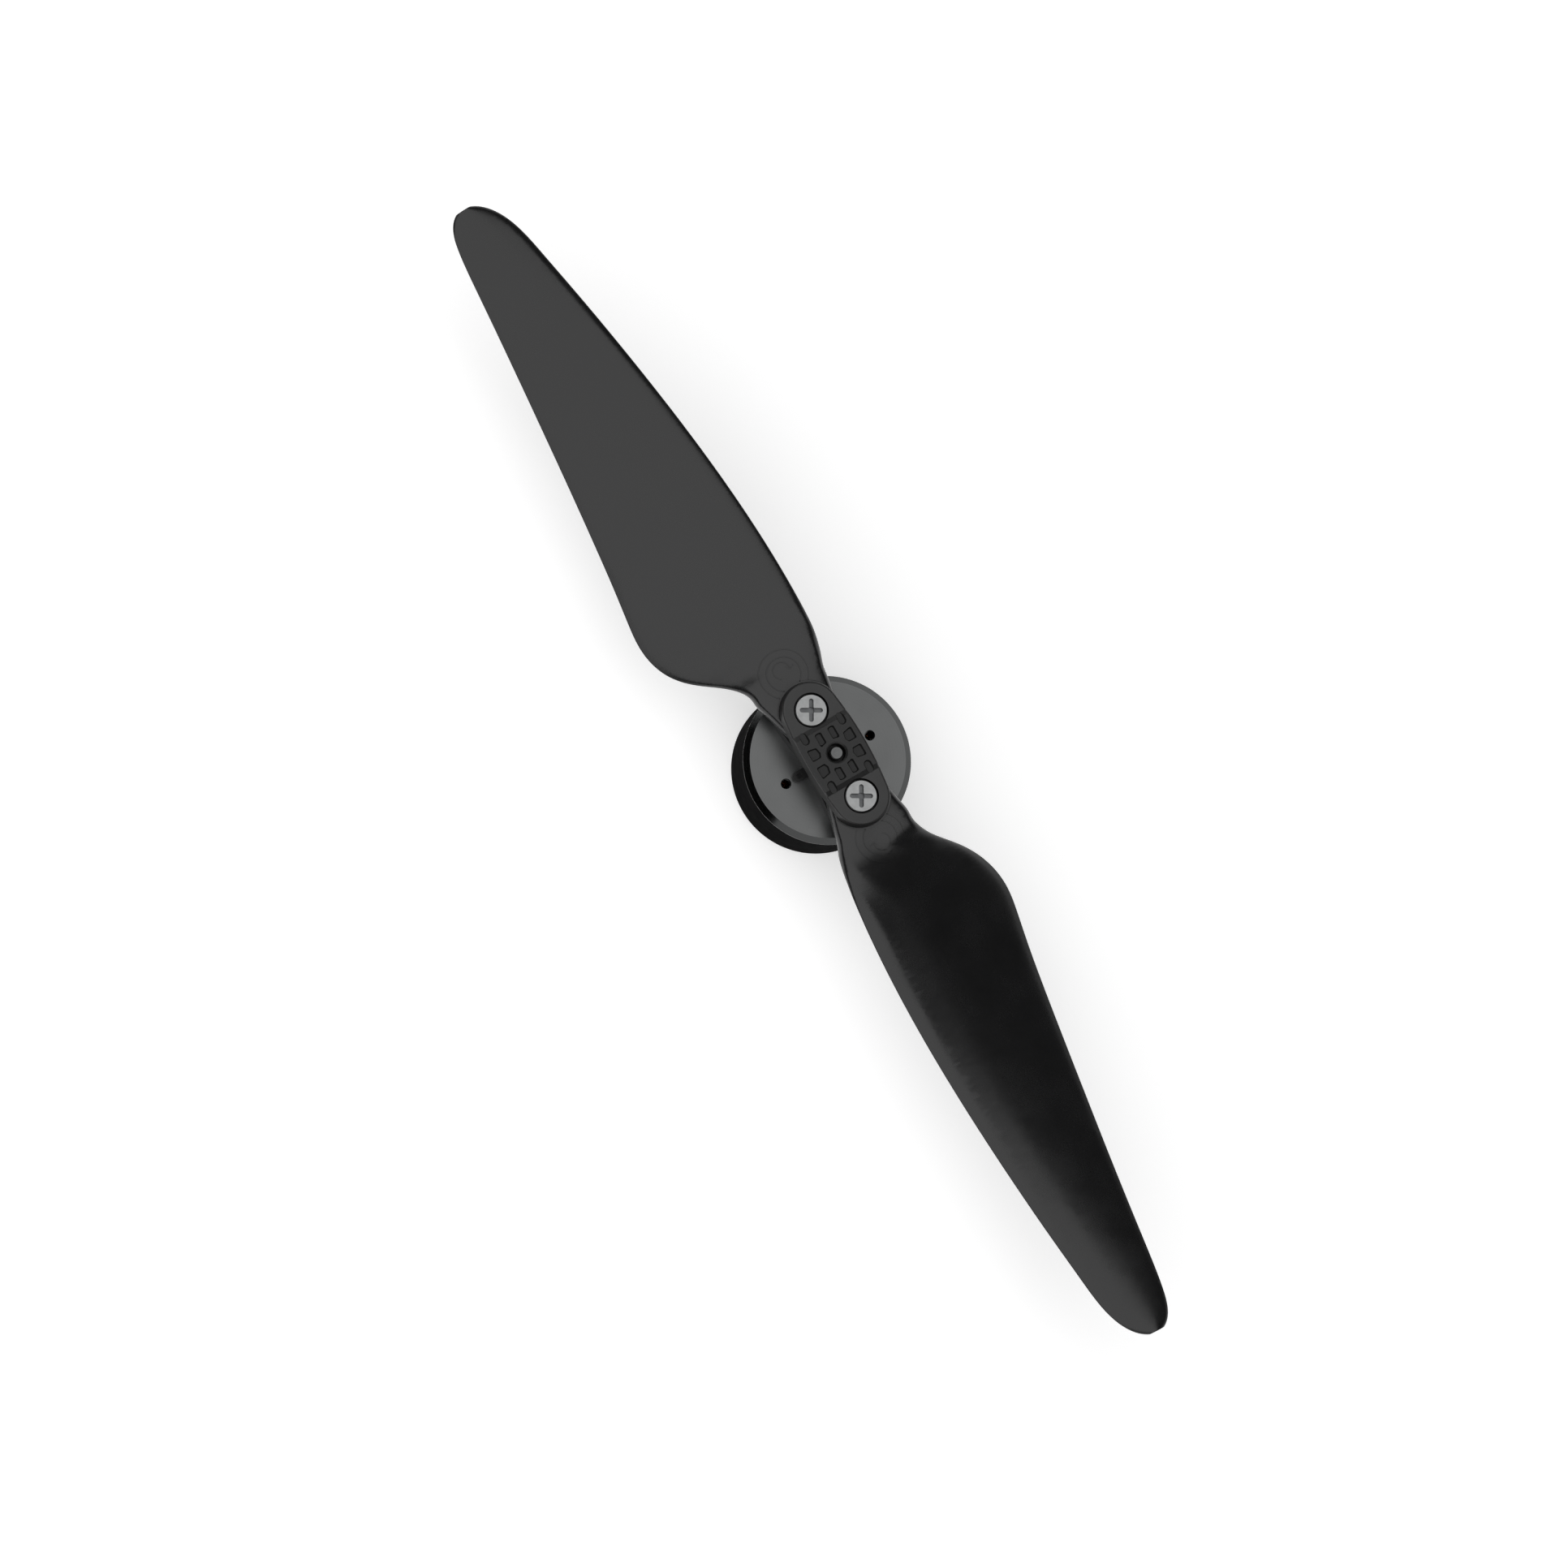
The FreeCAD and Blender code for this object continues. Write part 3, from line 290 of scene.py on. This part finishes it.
# the sheet is peeled off a billet with a blade, which leaves faint parallel lines
lines = add(tree, "TexWave", {"Scale": 1 / (3 * MM), "Distortion": 1.5, "Detail": 2.0}, {"Vector": place})
textured(tree, shader, lines.outputs["Fac"], "#d8d6cd", "#e6e4dc", depth=0.01 * MM, strength=0.1)
uneven(tree, shader, "Roughness", 0.4, 0.55, 1 * MM)
dress(skived_ptfe, *(name for name in frame["nodes"] if name.startswith("friction_washer_")))


# Hub: two clamps moulded in black glass-filled nylon, screwed together over the blade eyes.
# The lower one has an ear on each side that reaches to one of the bell's spare holes.
def moulded_nylon(name, dark, light, low, high):
    """Glass-filled nylon from a spark-eroded mould: satin, with fine grain and fibre bloom."""
    material, tree, shader = new_material(name, IOR=1.53)
    place = add(tree, "TexCoord").outputs["Object"]
    # the mould's grain is under 0.1 mm, drawn at 0.3 mm so that it shows
    grain = add(tree, "TexNoise", {"Scale": 1 / (0.3 * MM), "Detail": 2.0}, {"Vector": place})
    bloom = add(tree, "TexNoise", {"Scale": 1 / (7 * MM), "Detail": 4.0}, {"Vector": place})
    tone = add(tree, "Mix", {"data_type": "RGBA", "A_Color": linear(dark), "B_Color": linear(light)},
               {"Factor_Float": bloom.outputs["Fac"]})
    tree.links.new(socket(tone.outputs, "Result_Color"), shader.inputs["Base Color"])
    # the gloss follows the bloom, with about a third of the grain on top
    speckle = add(tree, "Math", {"operation": "MULTIPLY_ADD", "Value_001": 0.35},
                  {"Value": grain.outputs["Fac"], "Value_002": bloom.outputs["Fac"]})
    shine = add(tree, "MapRange", {"From Min": 0.4, "From Max": 0.95, "To Min": low, "To Max": high},
                {"Value": speckle.outputs["Value"]})
    tree.links.new(shine.outputs["Result"], shader.inputs["Roughness"])
    texture = add(tree, "Bump", {"Strength": 0.1, "Distance": 0.02 * MM}, {"Height": grain.outputs["Fac"]})
    tree.links.new(texture.outputs["Normal"], shader.inputs["Normal"])
    return material


hub_nylon = moulded_nylon("hub_glass_filled_nylon", "#111111", "#161616", 0.32, 0.44)
dress(hub_nylon, "hub_base", "hub_cap")
# the panel on top has a more open grain than the pads, so that less shines back; the pockets' floors and
# all below them give back only a share of what the pads do, a painted shade for the dark in the pockets
PAD_SHINE, PANEL_SHINE, FLOOR_SHADE_SHARE = 0.52, 0.38, 0.6
# how far below the panel's top each change is complete, and where it starts
PADS_BELOW, FLOOR_SHADE_BELOW = (0.06 * MM, 0.02 * MM), (0.48 * MM, 0.42 * MM)
panel_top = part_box("hub_cap")[1].z
tree = hub_nylon.node_tree
height = add(tree, "SeparateXYZ", links={"Vector": add(tree, "TexCoord").outputs["Object"]}).outputs["Z"]
upper = add(tree, "MapRange", {"From Min": panel_top - PADS_BELOW[0],
                               "From Max": panel_top - PADS_BELOW[1],
                               "To Min": PAD_SHINE, "To Max": PANEL_SHINE}, {"Value": height})
# the pockets' floors and all below them shine less: a painted shade
floor_painted_shade = add(tree, "MapRange", {"From Min": panel_top - FLOOR_SHADE_BELOW[0],
                               "From Max": panel_top - FLOOR_SHADE_BELOW[1],
                               "To Min": FLOOR_SHADE_SHARE}, {"Value": height})
shine = add(tree, "Math", {"operation": "MULTIPLY"},
            {"Value": upper.outputs["Result"], "Value_001": floor_painted_shade.outputs["Result"]})
tree.links.new(shine.outputs["Value"],
               socket(tree.nodes["Principled BSDF"].inputs, "Specular IOR Level"))


# Blades: moulded in the same nylon in a smoother mould, so they are a little glossier.
# Each has two raised rings by its eye with an arrow for the way that it turns.
blade_nylon = moulded_nylon("blade_glass_filled_nylon", "#101010", "#141415", 0.22, 0.3)
# at rest both blades are swept from square, and sit a little further the same way round
BLADE_SWEEP, BLADE_LAG = 3.0, 0.35
MARK_CENTRE = Vector((6.8, 0.1)) * MM
RING_RADII, RING_STEPS = (3.75 * MM, 2.6 * MM), 120
ARROW_SHIFT, ARROW_RADIUS, ARROW_STEPS = Vector((0.6, 0)) * MM, 1.3 * MM, 64
ARROW_START, ARROW_END = 150, -110
OUTER_BARB, INNER_BARB = Vector((0.8, 0.4)) * MM, Vector((0.35, -0.8)) * MM
PAD_CLEAR = 4.75 * MM
LINE_WIDTH, LINE_HEIGHT, LINE_ROOT = 0.2 * MM, 0.06 * MM, 0.05 * MM
# a line's section: how far across, as a share of its width, and how high
LINE_SECTION = ((-0.5, -LINE_ROOT), (-0.3, LINE_HEIGHT), (0.3, LINE_HEIGHT), (0.5, -LINE_ROOT))
# lines are dropped onto the blade from this far above its pivot
DROP_HEIGHT = Vector((0, 0, 10 * MM))


def arc(centre, radius, start, end, steps):
    """Points along an arc, in degrees from the blade's own length."""
    turns = [math.radians(start + (end - start) * step / steps) for step in range(steps + 1)]
    return [centre + radius * Vector((math.cos(turn), math.sin(turn))) for turn in turns]


def raised_line(mesh, path, surface, place):
    """Adds a moulded bead along a path laid on the blade's upper surface."""
    rows = []
    for index, point in enumerate(path):
        ahead = path[min(index + 1, len(path) - 1)] - path[max(index - 1, 0)]
        across = Vector((-ahead.y, ahead.x)).normalized() * LINE_WIDTH
        row = []
        for side, lift in LINE_SECTION:
            spot = place @ (point + across * side).to_3d()
            hit = surface.ray_cast(spot + DROP_HEIGHT, Vector((0, 0, -1)))[0]
            row.append(mesh.verts.new(hit + Vector((0, 0, lift))))
        rows.append(row)
    bar(mesh, rows)


pivots = {joint["child"]: Vector(joint["pos_m"]) for joint in frame["joints"]}
for blade, yaw in (("blade_a", BLADE_SWEEP - BLADE_LAG), ("blade_b", 180 - BLADE_SWEEP - BLADE_LAG)):
    dress(blade_nylon, blade)
    surface = BVHTree.FromObject(frame["nodes"][blade], bpy.context.evaluated_depsgraph_get())
    place = Matrix.Translation(pivots[blade]) @ Matrix.Rotation(math.radians(yaw), 4, "Z")
    # only the part of each ring that the hub's pad leaves free is raised
    rings = [[spot for spot in arc(MARK_CENTRE, radius, -180, 180, RING_STEPS)
              if spot.length > PAD_CLEAR] for radius in RING_RADII]
    tail = arc(MARK_CENTRE + ARROW_SHIFT, ARROW_RADIUS, ARROW_START, ARROW_END, ARROW_STEPS)
    tip = tail[-1]
    barbs = [tip + OUTER_BARB, tip, tip + INNER_BARB]
    mesh = bmesh.new()
    for path in [*rings, tail, barbs]:
        raised_line(mesh, path, surface, place)
    bmesh.ops.recalc_face_normals(mesh, faces=mesh.faces)
    mark = new_piece(blade + "_moulded_mark", mesh, blade_nylon)
    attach(mark, blade)


# Pivot screws: M2 steel with a wide flat cross-recessed head, zinc plated and passivated.
# The plating gives a pale grey satin, a little clouded by its crystals.
zinc_plated_steel, tree, shader = new_material("zinc_plated_steel", Metallic=1.0)
place = add(tree, "TexCoord").outputs["Object"]
crystals = add(tree, "TexNoise", {"Scale": 1 / (0.4 * MM), "Detail": 3.0}, {"Vector": place})
tone = add(tree, "Mix", {"data_type": "RGBA", "A_Color": linear("#8c8d8d"), "B_Color": linear("#9d9e9e")},
           {"Factor_Float": crystals.outputs["Fac"]})
# the recess is painted darker than the head's top, a painted shade for the shadow in it; the darkening
# sets in between these depths
RECESS_SHADE_START, RECESS_SHADE_FULL = 0.1 * MM, 0.35 * MM
head_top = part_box("pivot_screw_a")[1].z
height = add(tree, "SeparateXYZ", links={"Vector": place}).outputs["Z"]
depth = add(tree, "MapRange", {"From Min": head_top - RECESS_SHADE_START, "From Max": head_top - RECESS_SHADE_FULL},
            {"Value": height})
# paints the cross recess darker by depth: a painted shade
recess_painted_shade = add(tree, "Mix", {"data_type": "RGBA", "B_Color": linear("#5e5f60")},
             {"Factor_Float": depth.outputs["Result"], "A_Color": socket(tone.outputs, "Result_Color")})
tree.links.new(socket(recess_painted_shade.outputs, "Result_Color"), shader.inputs["Base Color"])
uneven(tree, shader, "Roughness", 0.28, 0.4, 1 * MM)
plating = add(tree, "Bump", {"Strength": 0.15, "Distance": 0.01 * MM}, {"Height": crystals.outputs["Fac"]})
tree.links.new(plating.outputs["Normal"], shader.inputs["Normal"])
dress(zinc_plated_steel, "pivot_screw_a", "pivot_screw_b")


# The view: almost straight down on the hub, leaning a little, through a long lens. Its
# roll also sets the directions in which the softbox and the flag stand.
VIEW_AZIMUTH, VIEW_LEAN, VIEW_ROLL = 97.84, 10.7, -30.67
VIEW_DISTANCE, VIEW_WIDTH = 1.1, 234.7 * MM
FOCUS_HEIGHT = 21 * MM
FOCUS_RIGHT, FOCUS_UP = 7.1 * MM, 4.06 * MM


def direction(azimuth, lean):
    """A unit vector that leans from straight up towards an azimuth, in degrees."""
    turn, tilt = math.radians(azimuth), math.radians(lean)
    return Vector((math.sin(tilt) * math.cos(turn), math.sin(tilt) * math.sin(turn), math.cos(tilt)))


def facing_frame(back, up):
    """Axes of a camera or lamp that looks along minus back, with up as its upper side."""
    up = (up - up.dot(back) * back).normalized()
    right = up.cross(back)
    return Matrix((right, up, back)).transposed().to_4x4()


back = direction(VIEW_AZIMUTH, VIEW_LEAN)
view_axes = facing_frame(back, direction(VIEW_ROLL, 90))
right, up = view_axes.col[0].to_3d(), view_axes.col[1].to_3d()
focus = Vector((0, 0, FOCUS_HEIGHT)) - FOCUS_RIGHT * right - FOCUS_UP * up
camera = bpy.data.objects.new("camera", bpy.data.cameras.new("camera"))
camera.data.sensor_width = 36
camera.data.lens = camera.data.sensor_width * VIEW_DISTANCE / VIEW_WIDTH
camera.data.clip_end = 50
camera.matrix_world = Matrix.Translation(focus + VIEW_DISTANCE * back) @ view_axes
bpy.context.scene.collection.objects.link(camera)
bpy.context.scene.camera = camera


# The studio: a large softbox overhead, leaning to the lower left of the view so that one
# blade mirrors it and the other the dark ceiling, with white walls and a white floor.
def view_direction(angle, lean):
    """A direction that leans from straight up towards an angle in the view, 0 to the right."""
    return direction(angle + VIEW_ROLL - 90, lean)


LOWER_LEFT = 218.5
SOFTBOX_LEAN, SOFTBOX_DISTANCE, SOFTBOX_SHIFT = 18.0, 1.4, 0.5
SOFTBOX_LENGTH, SOFTBOX_WIDTH = 2.8, 3.0
SOFTBOX_RADIANCE = 1.18
softbox = bpy.data.lights.new("softbox", "AREA")
softbox.shape = "RECTANGLE"
softbox.size, softbox.size_y = SOFTBOX_WIDTH, SOFTBOX_LENGTH
softbox.energy = SOFTBOX_RADIANCE * math.pi * SOFTBOX_WIDTH * SOFTBOX_LENGTH
lamp = bpy.data.objects.new("softbox", softbox)
toward = view_direction(LOWER_LEFT, SOFTBOX_LEAN)
middle = SOFTBOX_DISTANCE * toward + SOFTBOX_SHIFT * view_direction(LOWER_LEFT - 90, 90)
lamp.matrix_world = Matrix.Translation(middle) @ facing_frame(toward, view_direction(LOWER_LEFT, 90))
lamp.visible_camera = False
bpy.context.scene.collection.objects.link(lamp)

# a black flag stands to the left, where only reflections pick it up, and gives the bell's
# smooth chamfer a dark side
FLAG_ANGLE, FLAG_DISTANCE, FLAG_LENGTH, FLAG_HEIGHT = 185, 0.6, 1.3, 0.4
black_flag, tree, shader = new_material("black_velvet", Specular_IOR_Level=0.0)
place = add(tree, "TexCoord").outputs["Object"]
# the pile lies in 2 mm tufts
pile = add(tree, "TexNoise", {"Scale": 1 / (2 * MM), "Detail": 2.0}, {"Vector": place})
tone = add(tree, "Mix", {"data_type": "RGBA", "A_Color": linear("#050505"), "B_Color": linear("#0c0c0c")},
           {"Factor_Float": pile.outputs["Fac"]})
tree.links.new(socket(tone.outputs, "Result_Color"), shader.inputs["Base Color"])
uneven(tree, shader, "Roughness", 0.9, 1.0, 10 * MM)
mesh = bmesh.new()
bmesh.ops.create_grid(mesh, x_segments=1, y_segments=1, size=0.5)
flag = new_piece("flag", mesh, black_flag)
away = view_direction(FLAG_ANGLE, 90)
flag.matrix_world = (Matrix.Translation(FLAG_DISTANCE * away + Vector((0, 0, FLAG_HEIGHT / 2)))
                     @ facing_frame(-away, Vector((0, 0, 1)))
                     @ Matrix.Diagonal((FLAG_LENGTH, FLAG_HEIGHT, 1, 1)))
flag.visible_camera = flag.visible_diffuse = flag.visible_shadow = False

# white walls up to 12 degrees above the horizon, fading into a dark ceiling
WALL_TOP, CEILING_EDGE, CEILING_STRENGTH = 12, 26, 0.03
world = bpy.data.worlds.new("studio")
bpy.context.scene.world = world
world.use_nodes = True
tree = world.node_tree
rise = add(tree, "SeparateXYZ", links={"Vector": add(tree, "TexCoord").outputs["Generated"]})
room = add(tree, "MapRange", {"From Min": math.sin(math.radians(WALL_TOP)),
                              "From Max": math.sin(math.radians(CEILING_EDGE)),
                              "To Min": 1.0, "To Max": CEILING_STRENGTH},
           {"Value": rise.outputs["Z"]})
tree.links.new(room.outputs["Result"], tree.nodes["Background"].inputs["Strength"])
tree.nodes["Background"].inputs["Color"].default_value = linear("#ffffff")

# white painted floor; what the softbox leaves it short of white is added only where the
# floor is seen, straight on, mirrored or through glass
FLOOR_SIZE, FLOOR_GLOW = 20.0, 0.42
white_floor, tree, shader = new_material("matt_white_paint", Roughness=0.9, Specular_IOR_Level=0.0,
                                         Emission_Color=linear("#ffffff"))
place = add(tree, "TexCoord").outputs["Object"]
# the roller leaves a faint mottle about 25 mm across
roller = add(tree, "TexNoise", {"Scale": 1 / (25 * MM), "Detail": 2.0}, {"Vector": place})
tone = add(tree, "Mix", {"data_type": "RGBA", "A_Color": linear("#f4f4f4"), "B_Color": linear("#f6f6f6")},
           {"Factor_Float": roller.outputs["Fac"]})
tree.links.new(socket(tone.outputs, "Result_Color"), shader.inputs["Base Color"])
rays = add(tree, "LightPath")
seen = add(tree, "Math", {"operation": "MAXIMUM"},
           {"Value": rays.outputs["Is Camera Ray"], "Value_001": rays.outputs["Is Glossy Ray"]})
through = add(tree, "Math", {"operation": "MAXIMUM"},
              {"Value": seen.outputs["Value"], "Value_001": rays.outputs["Is Transmission Ray"]})
glow = add(tree, "Math", {"operation": "MULTIPLY", "Value_001": FLOOR_GLOW},
           {"Value": through.outputs["Value"]})
tree.links.new(glow.outputs["Value"], shader.inputs["Emission Strength"])
mesh = bmesh.new()
bmesh.ops.create_grid(mesh, x_segments=1, y_segments=1, size=FLOOR_SIZE / 2)
floor = new_piece("floor", mesh, white_floor)
floor.location.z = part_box("motor_base")[0].z

bpy.context.scene.view_settings.view_transform = "Standard"
